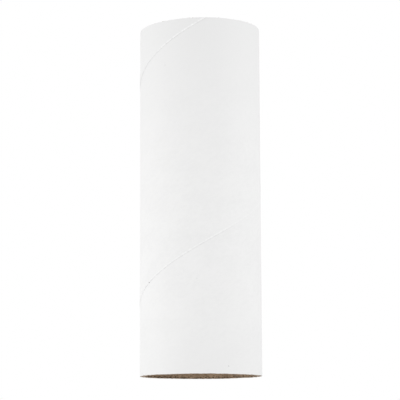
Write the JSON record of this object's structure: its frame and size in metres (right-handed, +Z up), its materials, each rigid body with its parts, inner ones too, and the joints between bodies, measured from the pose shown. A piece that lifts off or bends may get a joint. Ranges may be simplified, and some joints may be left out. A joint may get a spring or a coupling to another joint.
{
  "type": "backdrop paper roll core",
  "caption": "Spiral-wound paperboard tube with a kraft inner liner, chipboard plies and a lapped white outer wrap.",
  "frame": {"origin": "centre of the tube's lower end", "axes": "+Z up the tube's axis; the wrap's seam crosses the -Y side 58 mm above the lower end"},
  "size_m": [0.0566, 0.0566, 0.1633],
  "materials": {
    "white_paper": "matte",
    "chipboard": "matte",
    "kraft_paper": "matte"
  },
  "bodies": {
    "root": {"kraft_inner_liner": "kraft_paper", "chipboard_ply_1": "chipboard", "chipboard_ply_2": "chipboard", "chipboard_ply_3": "chipboard", "chipboard_ply_4": "chipboard", "chipboard_ply_5": "chipboard", "chipboard_ply_6": "chipboard", "chipboard_ply_7": "chipboard", "white_outer_wrap": "white_paper"}
  },
  "joints": []
}
